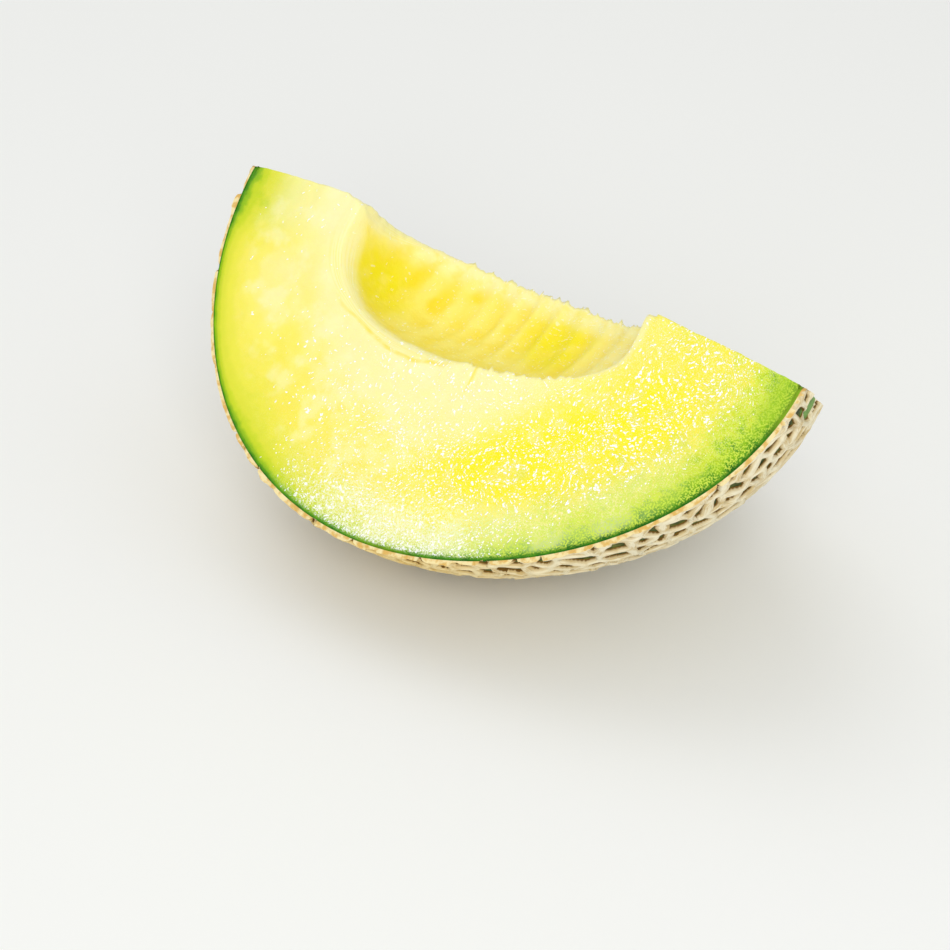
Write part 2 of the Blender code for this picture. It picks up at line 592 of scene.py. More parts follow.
@dataclass
class FleshBody:
    """The flesh: two wet cut faces and the ribbed hollow between them, closed under the rind."""

    shape: Shape
    stations: list[Vector]
    skin_depth: float = 0.8 * MM
    rest: float = 0.3 * MM
    near_rows: int = 100
    wall_rows: int = 60
    far_rows: int = 48
    hidden_rows: int = 6
    rim_detail: int = 6
    end_slope: float = 40.0
    # widths of the rounded lip, in millimetres: anywhere, and added at either end and on the near face
    lip: float = 0.8
    fuller_lip: float = 5.5
    narrow_lip: float = 2.4
    near_lip: float = 2.4
    rounding: float = 0.354
    tooth: float = 1.15 * MM
    tooth_reach: float = 1.3 * MM
    pale_reach: Pair = (1.0 * MM, 7.0 * MM)
    seam: float = 5 * MM
    ray_reach: float = 0.016
    crack_x: float = 4.4 * MM
    crack_length: float = 9.0 * MM
    crack_width: float = 0.6 * MM
    ripples: tuple[Pair, ...] = ((0.24, 110), (0.10, 330), (0.05, 900))
    softening: int = 24

    def rim_path(self) -> list[Vector]:
        """Inner edge of a cut face as (x, radius): top edge, rim of the hollow, top edge."""
        hollow = self.shape.hollow
        columns = len(self.stations) - 1
        half = hollow.length / 2
        fine = self.rim_detail * columns
        rim = []
        for i in range(fine + 1):
            x = hollow.offset - half * math.cos(math.pi * i / fine)
            rim.append(Vector((x, hollow.radius(x))))
        rim[0].y = rim[-1].y = 0.0
        end = self.shape.fruit.half - self.skin_depth
        return evenly([Vector((-end, 0.0))] + rim + [Vector((end, 0.0))], columns)

    def columns(self) -> list[Column]:
        """The grid's columns; where the hollow ends they climb from its wall to the top edge."""
        cuts = self.shape.cuts
        rim = self.rim_path()
        clear = [i for i, p in enumerate(rim) if all(cuts.reach(side, p.x, p.y) > 0.0 for side in Side)]
        columns = []
        for i, (station, inner) in enumerate(zip(self.stations, rim)):
            outer = self.shape.under_skin(station, self.skin_depth)
            ring = rim[min(max(i, clear[0]), clear[-1])]
            rise = min(inner.y / ring.y, 1.0)
            columns.append(
                Column(
                    outer=outer,
                    inner=inner,
                    ring=ring,
                    rise=rise,
                    reaches={side: rise * cuts.reach(side, ring.x, ring.y) for side in Side},
                    outer_reaches={side: cuts.reach(side, outer.x, outer.y) for side in Side},
                    turns=cuts.turns(ring),
                    outer_turns=cuts.turns(outer),
                )
            )
        return columns

    def lip_width(self, side: Side, x: float, reach: float) -> float:
        """How wide the rim is rounded: broad where the hollow ends, nearly sharp along its middle."""
        width = self.lip + self.fuller_lip * (1 - ease(-45, -32, x / MM))
        width += self.narrow_lip * ease(28, 36, x / MM)
        if side is Side.NEAR:
            width += self.near_lip * (1 - ease(-10, 3, x / MM)) * ease(1, 9, reach / MM)
        return width * MM

    def rim_points(self, columns: list[Column]) -> list[RimPoint]:
        """The rim of the hollow on both cut faces."""
        cuts, hollow = self.shape.cuts, self.shape.hollow
        points = []
        for side in Side:
            angle = cuts.angle(side)
            face_out = Vector((0.0, side.value * math.cos(angle), math.sin(angle)))
            up_face = Vector((0.0, -side.value * math.sin(angle), math.cos(angle)))
            torn = face_out if side is Side.FAR else (up_face + 0.4 * face_out).normalized()
            for column in columns:
                if column.rise <= 0.0:
                    continue
                x = column.inner.x
                reach = column.reaches[side]
                slope = hollow.slope(x) if column.rise >= 1.0 else math.copysign(self.end_slope, -x)
                turn = column.turns[0 if side is Side.NEAR else 1]
                void = Vector((slope, -math.sin(turn), math.cos(turn))).normalized()
                points.append(
                    RimPoint(
                        place=cuts.point(side, x, reach),
                        torn=torn,
                        into_flesh=-(face_out + void).normalized(),
                        width=self.lip_width(side, x, reach),
                        teeth=self.teeth(side, x),
                    )
                )
        return points

    def teeth(self, side: Side, x: float) -> float:
        """How far the torn rim stands up at x: small pointed teeth, none where the lip is smooth."""
        broad = 1 - min(abs(noise.noise(Vector((x * 300, 7.3, side.value)))) * 3.4, 1.0)
        fine = 1 - min(abs(noise.noise(Vector((x * 760, 2.1, side.value)))) * 3.0, 1.0)
        if side is Side.NEAR:
            share = 0.9 * ease(-2 * MM, 3 * MM, x) * (1 - ease(24 * MM, 31 * MM, x))
        else:
            share = ease(-43 * MM, -36 * MM, x) * (1 - 0.6 * ease(28 * MM, 35 * MM, x))
        return (0.75 * broad + 0.45 * fine) * share * self.tooth

    def set_down(self, vert: bmesh.types.BMVert, layer: Layers, column: Column, row: int) -> None:
        """Put a vertex of the flat grid where it belongs on the flesh.

        Args:
            vert: The vertex.
            layer: The grid's own layers, by name.
            column: Its column.
            row: Its row, counted from the rind along the near face.
        """
        shape, cuts = self.shape, self.shape.cuts
        wall_end = self.near_rows + self.wall_rows
        far_end = wall_end + self.far_rows
        inner, outer = column.inner, column.outer
        if row in (0, far_end + self.hidden_rows):
            vert.co = shape.on_cut(Side.NEAR, outer)
        elif row == far_end:
            vert.co = shape.on_cut(Side.FAR, outer)
        elif row > far_end:
            near, far = column.outer_turns
            vert.co = shape.on_ring(outer, far + (near - far) * ((row - far_end) / self.hidden_rows))
        elif self.near_rows < row < wall_end:
            self.set_on_wall(vert, layer, column, (row - self.near_rows) / self.wall_rows)
        else:
            side = Side.NEAR if row <= self.near_rows else Side.FAR
            share = row / self.near_rows if side is Side.NEAR else (far_end - row) / self.far_rows
            start = column.outer_reaches[side]
            reach = start + (column.reaches[side] - start) * share
            vert.co = cuts.point(side, outer.x + (inner.x - outer.x) * share, reach)
            vert[layer["loose"]] = ease(0.0, 0.06, share)

    def set_on_wall(self, vert: bmesh.types.BMVert, layer: Layers, column: Column, share: float) -> None:
        """Put a vertex on the hollow's wall.

        Args:
            vert: The vertex.
            layer: The grid's own layers, by name.
            column: Its column.
            share: How far round the wall it is, 0 at the near face and 1 at the far one.
        """
        shape, hollow, inner = self.shape, self.shape.hollow, column.inner
        near, far = column.turns
        turn = near + (far - near) * share
        rib, strength = hollow.rib(inner.x, turn)
        fade = ease(0.0, 0.10, share) * ease(0.0, 0.07, 1 - share) * ease(2 * MM, 10 * MM, inner.y)
        dent = hollow.rib_depth * rib * strength * fade
        wall = shape.on_ring(Vector((inner.x, column.ring.y - dent)), turn)
        vert.co = shape.cuts.point(Side.NEAR, inner.x, 0.0).lerp(wall, column.rise)
        vert[layer["wall"]] = 1.0 if column.rise > 0.0 else 0.0
        vert[layer["groove"]] = (1 - rib) * strength * column.rise
        vert[layer["loose"]] = 1.0

    def soften(self, bm: Grid, layer: Layers) -> None:
        """Smooth the lip where the hollow ends, most of all at the very ends."""
        for step in range(self.softening):
            reach = step / self.softening
            left, right = (-24 - 14 * reach) * MM, (30 + 12 * reach) * MM
            soft = [v for v in bm.verts if v[layer["lip"]] > 0.02 and not left <= v.co.x <= right]
            bmesh.ops.smooth_vert(
                bm, verts=soft, factor=0.5, use_axis_x=True, use_axis_y=True, use_axis_z=True
            )

    def build(self, materials: list[Material]) -> bpy.types.Object:
        """Make the flesh.

        Args:
            materials: Finish of the flesh.

        Returns:
            The flesh.
        """
        columns = self.columns()
        count = len(columns) - 1
        far_end = self.near_rows + self.wall_rows + self.far_rows
        total = far_end + self.hidden_rows
        bm = wrapped_grid(count, total, {0, far_end, total}, lambda row: 0)
        names = ("wall", "groove", "lip", "pale", "crack", "loose")
        layer = {name: bm.verts.layers.float.new(name) for name in names}
        points = self.rim_points(columns)
        tree = search_tree([point.place for point in points])
        for vert in bm.verts:
            row = round(vert.co.y * total)
            self.set_down(vert, layer, columns[round(vert.co.x * count)], row)
            if 0 < row < far_end:
                self.shape_rim(vert, layer, points, tree)
        close_up(bm)
        self.soften(bm, layer)
        bm.normal_update()
        loose = [vert for vert in bm.verts if vert[layer["loose"]] > 0.0]
        moves = [vert.normal * self.relief(vert, layer) * vert[layer["loose"]] for vert in loose]
        for vert, move in zip(loose, moves):
            vert.co += move
        return finish_piece(bm, self.shape, "flesh", materials, self.rest)

    def shape_rim(
        self, vert: bmesh.types.BMVert, layer: Layers, points: list[RimPoint], tree: KDTree
    ) -> None:
        """Round and roughen the hollow's rim where a vertex is near it.

        Args:
            vert: The vertex.
            layer: The grid's own layers, by name.
            points: The rim's points.
            tree: Their places, for searching.
        """
        _, k, distance = tree.find(vert.co)
        point = points[k]
        near_lip = max(0.0, 1 - distance / point.width)
        side = -1.0 if vert.co.y <= 0.0 else 1.0
        middle = ease(0.0, self.seam, abs(vert.co.y))
        into = point.into_flesh.copy()
        into.y = side * abs(into.y) * middle
        ragged = max(0.0, 1 - distance / self.tooth_reach) * point.teeth
        vert[layer["lip"]] = near_lip
        vert[layer["pale"]] = 1 - ease(*self.pale_reach, distance)
        if side < 0.0 and vert[layer["wall"]] < 0.5:
            off = abs(distance - 0.85 * point.width + 1.3 * MM * noise.noise(vert.co * 170)) / MM
            span = ease(-39, -34, vert.co.x / MM) * (1 - ease(-7, 2, vert.co.x / MM))
            span *= 0.45 + 1.1 * abs(noise.noise(vert.co * 260))
            vert[layer["crack"]] = (1 - ease(0.1, 0.75, off)) * min(span, 1.0)
        vert.co += into * (self.rounding * point.width * near_lip**2)
        vert.co += Vector((0.0, point.torn.y * middle, point.torn.z)) * ragged

    def relief(self, vert: bmesh.types.BMVert, layer: Layers) -> float:
        """Height of the small relief at a vertex, outward; on a cut face it also marks the crack."""
        place = vert.co
        far_lip = vert[layer["lip"]] * ease(-4 * MM, 1 * MM, place.y)
        far_lip = far_lip * (1 - ease(-40 * MM, -30 * MM, place.x))
        rise = 0.45 * far_lip * noise.noise(place * 480)
        for height, grain in self.ripples:
            rise += height * noise.noise(place * grain)
        if vert[layer["wall"]] < 0.5:
            away = place.yz.length
            down = away - self.shape.hollow.radius(place.x)
            rays = noise.noise(Vector((place.x * 420, away * 70, 3.0)))
            rise += 0.16 * rays * (1 - ease(0.0, self.ray_reach, down))
            off = place.x - self.crack_x - 1.2 * MM * noise.noise(Vector((away * 300, 0.0, 5.0)))
            if place.y < 0.0 and down < self.crack_length:
                crack = 1 - ease(0.0, self.crack_width, abs(off))
                crack = crack * (1 - ease(0.2, 1.0, down / self.crack_length))
                vert[layer["crack"]] = max(crack, vert[layer["crack"]])
            rise -= 0.03 * vert[layer["crack"]]
        return rise * MM


class Graph:
    """Short ways to add nodes to a material's or a group's tree."""

    def __init__(self, tree: NodeTree) -> None:
        """Keep the tree."""
        self.tree = tree

    def add(self, kind: str, **settings: object) -> bpy.types.Node:
        """Add a node and set its own settings."""
        node = self.tree.nodes.new(kind)
        for name, value in settings.items():
            setattr(node, name, value)
        return node

    def feed(self, socket: Socket, value: object) -> None:
        """Link a socket, or set a plain value on it."""
        if isinstance(value, bpy.types.NodeSocket):
            self.tree.links.new(value, socket)
        elif isinstance(value, tuple) and len(value) == 3 and socket.type == "RGBA":
            socket.default_value = (*value, 1.0)
        else:
            socket.default_value = value

    def math(self, operation: str, *values: object, clamp: bool = False) -> Socket:
        """A Math node's result."""
        node = self.add("ShaderNodeMath", operation=operation, use_clamp=clamp)
        for socket, value in zip(node.inputs, values):
            self.feed(socket, value)
        return node.outputs[0]

    def product(self, *values: object) -> Socket:
        """Several values multiplied."""
        result = values[0]
        for value in values[1:]:
            result = self.math("MULTIPLY", result, value)
        return result

    def fade(
        self, value: object, low: object, high: object, least: float = 0.0, most: float = 1.0
    ) -> Socket:
        """Smooth step of a value from least at low to most at high."""
        node = self.add("ShaderNodeMapRange", interpolation_type="SMOOTHSTEP", clamp=True)
        for name, given in (("Value", value), ("From Min", low), ("From Max", high)):
            self.feed(node.inputs[name], given)
        node.inputs["To Min"].default_value = least
        node.inputs["To Max"].default_value = most
        return node.outputs["Result"]

    def fade_out(self, value: object, low: object, high: object) -> Socket:
        """Smooth step of a value from 1 at low to 0 at high."""
        return self.fade(value, low, high, 1.0, 0.0)

    def window(self, value: Socket, opening: Pair, closing: Pair) -> Socket:
        """A value's way up from 0 to 1 over opening, and back to 0 over closing."""
        return self.product(self.fade(value, *opening), self.fade_out(value, *closing))

    def noise(self, vector: Socket, scale: float, detail: float = 2.0) -> Socket:
        """A noise texture's value."""
        node = self.add("ShaderNodeTexNoise")
        self.feed(node.inputs["Vector"], vector)
        node.inputs["Scale"].default_value = scale
        node.inputs["Detail"].default_value = detail
        return node.outputs["Fac"]

    def patches(
        self, vector: Socket, scale: float, detail: float, edges: Pair, strengths: Pair = (0.0, 1.0)
    ) -> Socket:
        """Soft patches of noise.

        Args:
            vector: Where the noise is read.
            scale: How fine it is.
            detail: How many finer noises it has.
            edges: The noise at which a patch starts, and at which it is whole.
            strengths: The value between the patches, and inside them.

        Returns:
            The value.
        """
        return self.fade(self.noise(vector, scale, detail), *edges, *strengths)

    def sway(self, vector: Socket, scale: float, detail: float, swing: float, least: float) -> Socket:
        """Noise stretched so that it swings by swing, from least up."""
        return self.math("MULTIPLY_ADD", self.noise(vector, scale, detail), swing, least)

    def warp(self, place: Socket, source: Socket, scale: float, reach: float) -> Socket:
        """A place shifted to and fro by noise.

        Args:
            place: The place to shift.
            source: Where the noise is read.
            scale: How fine the noise is.
            reach: How far it shifts.

        Returns:
            The shifted place.
        """
        shift = self.add("ShaderNodeTexNoise")
        self.feed(shift.inputs["Vector"], source)
        shift.inputs["Scale"].default_value = scale
        shift.inputs["Detail"].default_value = 1.0
        moved = self.add("ShaderNodeVectorMath", operation="MULTIPLY_ADD")
        self.feed(moved.inputs[0], shift.outputs["Color"])
        moved.inputs[1].default_value = (reach, reach, reach)
        self.feed(moved.inputs[2], place)
        return moved.outputs[0]

    def mix(self, share: object, first: object, second: object, blend: str = "MIX") -> Socket:
        """A mix of two colours."""
        node = self.add("ShaderNodeMix", data_type="RGBA", blend_type=blend, clamp_factor=True)
        self.feed(node.inputs["Factor"], share)
        colours = [socket for socket in node.inputs if socket.type == "RGBA"]
        for socket, colour in zip(colours, (first, second)):
            self.feed(socket, colour)
        return next(socket for socket in node.outputs if socket.type == "RGBA")

    def ramp(self, value: Socket, stops: list[tuple[float, Colour]]) -> Socket:
        """A colour ramp's colour."""
        node = self.add("ShaderNodeValToRGB")
        node.color_ramp.interpolation = "EASE"
        elements = node.color_ramp.elements
        while len(elements) > 1:
            elements.remove(elements[-1])
        elements[0].position, elements[0].color = stops[0][0], (*stops[0][1], 1.0)
        for position, colour in stops[1:]:
            elements.new(position).color = (*colour, 1.0)
        self.feed(node.inputs["Fac"], value)
        return node.outputs["Color"]

    def attribute(self, name: str) -> Socket:
        """A piece's own attribute, as a value."""
        return self.add("ShaderNodeAttribute", attribute_name=name).outputs["Fac"]

    def group(self, tree: NodeTree, **values: object) -> bpy.types.NodeOutputs:
        """A group's outputs, with its inputs set by name."""
        node = self.add("ShaderNodeGroup", node_tree=tree)
        for name, value in values.items():
            self.feed(node.inputs[name], value)
        return node.outputs

    def bump(self, height: Socket, distance: float, strength: float) -> Socket:
        """A bump node's normal."""
        node = self.add("ShaderNodeBump")
        self.feed(node.inputs["Height"], height)
        node.inputs["Distance"].default_value = distance
        node.inputs["Strength"].default_value = strength
        return node.outputs["Normal"]

    def place(self) -> Socket:
        """Object coordinates."""
        return self.add("ShaderNodeTexCoord").outputs["Object"]

    def spot(self, place: Socket, centre: Vector, radius: float) -> Socket:
        """A soft round spot, 1 in its middle and 0 from its radius on."""
        node = self.add("ShaderNodeVectorMath", operation="DISTANCE")
        self.feed(node.inputs[0], place)
        node.inputs[1].default_value = centre
        return self.fade_out(node.outputs["Value"], 0.25 * radius, radius)


def new_material(name: str, values: dict[str, object]) -> tuple[Material, Graph, bpy.types.Node]:
    """A fresh material with a Principled shader.

    Args:
        name: The material's name.
        values: What is the same all over it, by the shader's own sockets.

    Returns:
        The material, its graph and its shader.
    """
    material = bpy.data.materials.new(name)
    material.use_nodes = True
    graph = Graph(material.node_tree)
    shader = material.node_tree.nodes["Principled BSDF"]
    for socket, value in values.items():
        graph.feed(shader.inputs[socket], value)
    return material, graph, shader


def new_group(
    name: str, inputs: dict[str, float], outputs: dict[str, str]
) -> tuple[Graph, dict[str, Socket], bpy.types.Node]:
    """An empty node group.

    Args:
        name: The group's name.
        inputs: Its value inputs and what they start at.
        outputs: Its outputs and whether each is a Float or a Color.

    Returns:
        Its graph, its inputs as sockets to read, and its output node.
    """
    tree = bpy.data.node_groups.new(name, "ShaderNodeTree")
    for title, value in inputs.items():
        socket = tree.interface.new_socket(name=title, in_out="INPUT", socket_type="NodeSocketFloat")
        socket.default_value = value
    for title, kind in outputs.items():
        tree.interface.new_socket(name=title, in_out="OUTPUT", socket_type=f"NodeSocket{kind}")
    graph = Graph(tree)
    given = graph.add("NodeGroupInput").outputs
    return graph, {title: given[title] for title in inputs}, graph.add("NodeGroupOutput")


def place_group(shape: Shape) -> NodeTree:
    """Group that tells where a point is in the fruit, in millimetres.

    Args:
        shape: The fruit's shape and place.

    Returns:
        The group: Depth below the skin, Along the polar axis from its middle, and Away from that axis.
    """
    names = ("Depth", "Along", "Away")
    graph, _, output = new_group("place in the fruit", {}, dict.fromkeys(names, "Float"))
    fruit = shape.fruit
    back = shape.place.inverted()
    mapping = graph.add("ShaderNodeMapping", vector_type="POINT")
    mapping.inputs["Location"].default_value = back.translation
    mapping.inputs["Rotation"].default_value = back.to_euler()
    graph.feed(mapping.inputs["Vector"], graph.place())
    parts = graph.add("ShaderNodeSeparateXYZ")
    graph.feed(parts.inputs[0], mapping.outputs[0])
    x, y, z = parts.outputs
    along = graph.math("DIVIDE", x, fruit.half)
    away = graph.math("SQRT", graph.math("ADD", graph.product(y, y), graph.product(z, z)))
    taper = graph.math("MULTIPLY_ADD", along, -fruit.fuller_end, 1.0)
    across = graph.math("DIVIDE", away, graph.product(taper, fruit.width / 2))
    sizes = ((along, fruit.half), (across, fruit.width / 2))
    powers = [graph.math("POWER", graph.math("ABSOLUTE", share), fruit.power) for share, _ in sizes]
    level = graph.math("POWER", graph.math("ADD", *powers), 1 / fruit.power)
    slopes = [graph.math("POWER", graph.math("DIVIDE", share, size / MM), 2.0) for share, size in sizes]
    steep = graph.math("SQRT", graph.math("ADD", *slopes))
    depth = graph.product(graph.math("SUBTRACT", 1.0, level), level)
    for name, value, unit in zip(names, (depth, x, away), (steep, MM, MM)):
        graph.feed(output.inputs[name], graph.math("DIVIDE", value, unit))
    return graph.tree


@dataclass(frozen=True)
class Where:
    """A shaded point: its place, for noise, and where it is in the fruit, in millimetres."""

    place: Socket
    depth: Socket
    along: Socket
    away: Socket

    @classmethod
    def read(cls, graph: Graph, places: NodeTree) -> Where:
        """Read the point in a graph, with the group that tells places in the fruit."""
        parts = graph.group(places)
        return cls(graph.place(), parts["Depth"], parts["Along"], parts["Away"])


@dataclass(frozen=True)
class PaintedGlintDashes:
    """One kind of painted glint, a short white wet dash: how many fit in a metre, and how big each is in
    its share of room.
    """

    scale: float
    size: float

    def mask(self, graph: Graph, group: NodeTree, amount: Socket) -> Socket:
        """Where the painted glint dashes are, given the share of them that is there."""
        return graph.group(group, Scale=self.scale, Size=self.size, Amount=amount)["Mask"]


@dataclass(frozen=True)
class PaintedGlintPattern:
    """Short wet dashes along the fibres of cut flesh, where highlights are painted as white glints."""

    fibres: Place = (0.36, -0.747, 0.665)
    stretch: float = 1.5
    swirl: Pair = (75.0, 13 * MM)
    bend: Pair = (1100.0, 1.2 * MM)
    smallest: float = 0.25
    core: float = 0.7

    def group(self) -> NodeTree:
        """Make the group.

        Returns:
            The group: Scale is how many dashes fit in a metre, Amount the share of them that is
            there, and Size how big they are.
        """
        inputs = {"Scale": 800.0, "Amount": 0.5, "Size": 0.3}
        graph, given, output = new_group("wet specks", inputs, {"Mask": "Float"})
        parts = graph.add("ShaderNodeSeparateXYZ")
        graph.feed(parts.inputs[0], graph.place())
        x, y, z = parts.outputs
        folded = graph.add("ShaderNodeCombineXYZ")
        for socket, value in zip(folded.inputs, (x, graph.math("ABSOLUTE", y), z)):
            graph.feed(socket, value)
        mapping = graph.add("ShaderNodeMapping", vector_type="TEXTURE")
        mapping.inputs["Rotation"].default_value = Vector(self.fibres).to_track_quat("X", "Z").to_euler()
        mapping.inputs["Scale"].default_value = (self.stretch, 1.0, 1.0)
        graph.feed(mapping.inputs["Vector"], graph.warp(folded.outputs[0], folded.outputs[0], *self.swirl))
        cells = graph.add("ShaderNodeTexVoronoi", feature="F1")
        graph.feed(cells.inputs["Vector"], graph.warp(mapping.outputs[0], folded.outputs[0], *self.bend))
        graph.feed(cells.inputs["Scale"], given["Scale"])
        draw = graph.add("ShaderNodeSeparateColor")
        graph.feed(draw.inputs[0], cells.outputs["Color"])
        there = graph.math("LESS_THAN", draw.outputs[1], given["Amount"])
        share = graph.math("MULTIPLY_ADD", draw.outputs[0], 1 - self.smallest, self.smallest)
        size = graph.product(share, given["Size"])
        mask = graph.fade_out(cells.outputs["Distance"], graph.product(size, self.core), size)
        graph.feed(output.inputs["Mask"], graph.product(mask, there))
        return graph.tree


@dataclass(frozen=True)
class CutColours:
    """Colours of the flesh by how deep they are, in millimetres where the green is narrowest."""

    stops: tuple[tuple[float, Colour], ...] = (
        (0.0, linear(26, 98, 6)),
        (0.4, linear(76, 146, 8)),
        (1.0, linear(146, 192, 14)),
        (2.2, linear(202, 218, 34)),
        (4.0, linear(224, 226, 58)),
        (8.0, linear(237, 232, 72)),
        (12.5, linear(246, 235, 90)),
        (18.0, linear(252, 240, 110)),
        (23.0, linear(254, 243, 148)),
        (31.0, linear(254, 244, 168)),
        (46.0, linear(254, 243, 178)),
    )
    deepest: float = 46.0
    ripe: Colour = linear(255, 239, 6)
    ripe_middle: Pair = (30.0, 33.0)
    ripe_turn: float = math.radians(-41.8)
    golden: Colour = linear(252, 233, 72)
    cream: Colour = linear(253, 250, 196)
    tip: Colour = linear(166, 202, 40)
    # painted sparkle of wet cells in the green: near white in the fuller half, lime towards the narrower
    # end
    sparkle_colour: Colour = linear(248, 252, 214)
    lime_sparkle: Colour = linear(212, 232, 78)

    def group(self, places: NodeTree) -> NodeTree:
        """Make the group that colours cut flesh, which the rind's cut edge shares.

        Args:
            places: The group that tells where a point is in the fruit.

        Returns:
            The group, with one Color output.
        """
        graph, _, output = new_group("cut flesh", {}, {"Color": "Color"})
        where = Where.read(graph, places)
        stops = [(stop / self.deepest, colour) for stop, colour in self.stops]
        colour = graph.ramp(graph.math("DIVIDE", self.level(graph, where), self.deepest), stops)
        ripe = self.ripeness(graph, where)
        colour = graph.mix(self.gold(graph, where), colour, self.golden)
        colour = graph.mix(ripe, colour, self.ripe)
        creams = (
            self.pale_bottom(graph, where),
            self.grains(graph, where, ripe),
            self.pale_top(graph, where),
            self.milk(graph, where),
        )
        for share in creams:
            colour = graph.mix(share, colour, self.cream)
        # painted sparkle: pale dots where wet cells catch the light
        sparkle_colour = graph.mix(graph.fade(where.along, 12.0, 34.0), self.sparkle_colour, self.lime_sparkle)
        colour = graph.mix(self.painted_sparkle(graph, where), colour, sparkle_colour)
        colour = graph.mix(self.green_tip(graph, where), colour, self.tip)
        graph.feed(output.inputs["Color"], colour)
        return graph.tree

    def narrowing(self, graph: Graph, where: Where) -> Socket:
        """How fast the colours pass with depth: in wider bands towards +X and by the fuller tip."""
        along, away = where.along, where.away
        narrow = graph.fade(along, -25.0, 60.0, 1.0, 0.30)
        side = graph.product(graph.fade_out(along, -60.0, -42.0), graph.fade(away, 10.0, 22.0))
        narrow = graph.product(narrow, graph.math("MULTIPLY_ADD", side, 0.9, 1.0))
        corner = graph.product(graph.fade_out(along, -66.0, -50.0), graph.fade_out(away, 6.0, 20.0))
        return graph.product(narrow, graph.math("MULTIPLY_ADD", corner, -0.42, 1.0))

    def level(self, graph: Graph, where: Where) -> Socket:
        """Depth at which the colour is read, unsettled by clouds, mottling and blotches."""
        place, depth = where.place, where.depth
        cloud = graph.product(graph.sway(place, 85, 3, 12.0, -6.0), graph.fade(depth, 2.0, 16.0))
        mottle = graph.product(graph.sway(place, 420, 3, 4.0, -2.0), graph.fade(depth, 0.0, 6.0, 0.22, 1.0))
        blotch = graph.product(
            graph.sway(place, 190, 2, 5.0, -2.3),
            graph.window(depth, (4.0, 10.0), (14.0, 24.0)),
            graph.fade(where.along, -30.0, 10.0, 1.0, 0.4),
        )
        unsettled = graph.math("ADD", cloud, graph.math("ADD", mottle, blotch))
        return graph.math("ADD", graph.product(depth, self.narrowing(graph, where)), unsettled)

    def ripeness(self, graph: Graph, where: Where) -> Socket:
        """How much of the ripest yellow there is: a broken streak aslant across the face."""
        middle_along, middle_away = self.ripe_middle
        cos, sin = math.cos(self.ripe_turn), math.sin(self.ripe_turn)
        x = graph.math("SUBTRACT", where.along, middle_along)
        y = graph.math("SUBTRACT", where.away, middle_away)
        down = graph.math("ADD", graph.product(x, cos), graph.product(y, sin))
        aside = graph.math("SUBTRACT", graph.product(y, cos), graph.product(x, sin))
        streak = graph.fade_out(graph.math("ABSOLUTE", aside), 3.0, 14.0)
        ends = graph.window(down, (-52.0, -14.0), (24.0, 44.0))
        return graph.product(streak, ends, graph.patches(where.place, 190, 5, (0.32, 0.52)))

    def gold(self, graph: Graph, where: Where) -> Socket:
        """Golden patches in the middle of the flesh."""
        return graph.product(
            graph.window(where.depth, (5.0, 14.0), (22.0, 31.0)),
            graph.patches(where.place, 210, 4, (0.36, 0.62)),
            graph.fade(where.along, -70.0, -20.0, 0.15, 0.6),
        )

    def pale_bottom(self, graph: Graph, where: Where) -> Socket:
        """Pale band along the bottom of the cut, just inside the green."""
        return graph.product(
            graph.window(where.depth, (0.6, 2.2), (8.0, 16.0)),
            graph.window(where.along, (-22.0, 2.0), (50.0, 66.0)),
            graph.patches(where.place, 130, 2, (0.32, 0.62), (0.35, 1.0)),
            0.45,
        )

    def grains(self, graph: Graph, where: Where, ripe: Socket) -> Socket:
        """Fine pale grains, fewer where the flesh is ripest."""
        return graph.product(
            graph.patches(where.place, 3300, 1, (0.50, 0.62)),
            graph.fade(where.depth, 2.0, 8.0),
            graph.fade(where.along, -50.0, 10.0, 0.05, 0.5),
            graph.math("MULTIPLY_ADD", ripe, -0.6, 1.0),
        )

    def pale_top(self, graph: Graph, where: Where) -> Socket:
        """Paler flesh along the top edge, beside the hollow's fuller end."""
        return graph.product(
            graph.window(where.along, (-70.0, -60.0), (-46.0, -34.0)),
            graph.fade(where.away, 5.0, 18.0, 0.5, 0.0),
        )

    def milk(self, graph: Graph, where: Where) -> Socket:
        """Milky patches in the fuller half."""
        return graph.product(
            graph.patches(where.place, 170, 4, (0.46, 0.66)),
            graph.fade(where.depth, 4.0, 12.0),
            graph.fade_out(where.along, -10.0, 15.0),
            0.38,
        )

    def painted_sparkle(self, graph: Graph, where: Where) -> Socket:
        """Painted sparkle of wet cells: pale dots in the green, from the middle of the fruit to its
        narrower end.
        """
        return graph.product(
            graph.window(where.depth, (0.3, 1.3), (6.0, 18.0)),
            graph.fade(where.along, -34.0, -8.0),
            graph.patches(where.place, 150, 2, (0.3, 0.55), (0.55, 1.0)),
            graph.patches(where.place, 2600, 2, (0.45, 0.57)),
            0.85,
        )

    def green_tip(self, graph: Graph, where: Where) -> Socket:
        """Green that reaches inward at the narrower tip."""
        return graph.product(
            graph.fade(where.along, 68.0, 72.0), graph.fade_out(where.away, 7.0, 13.0), 0.5
        )


@dataclass(frozen=True)
class Groups:
    """The node groups that the materials share."""

    place: NodeTree
    flesh: NodeTree
    painted_glints: NodeTree


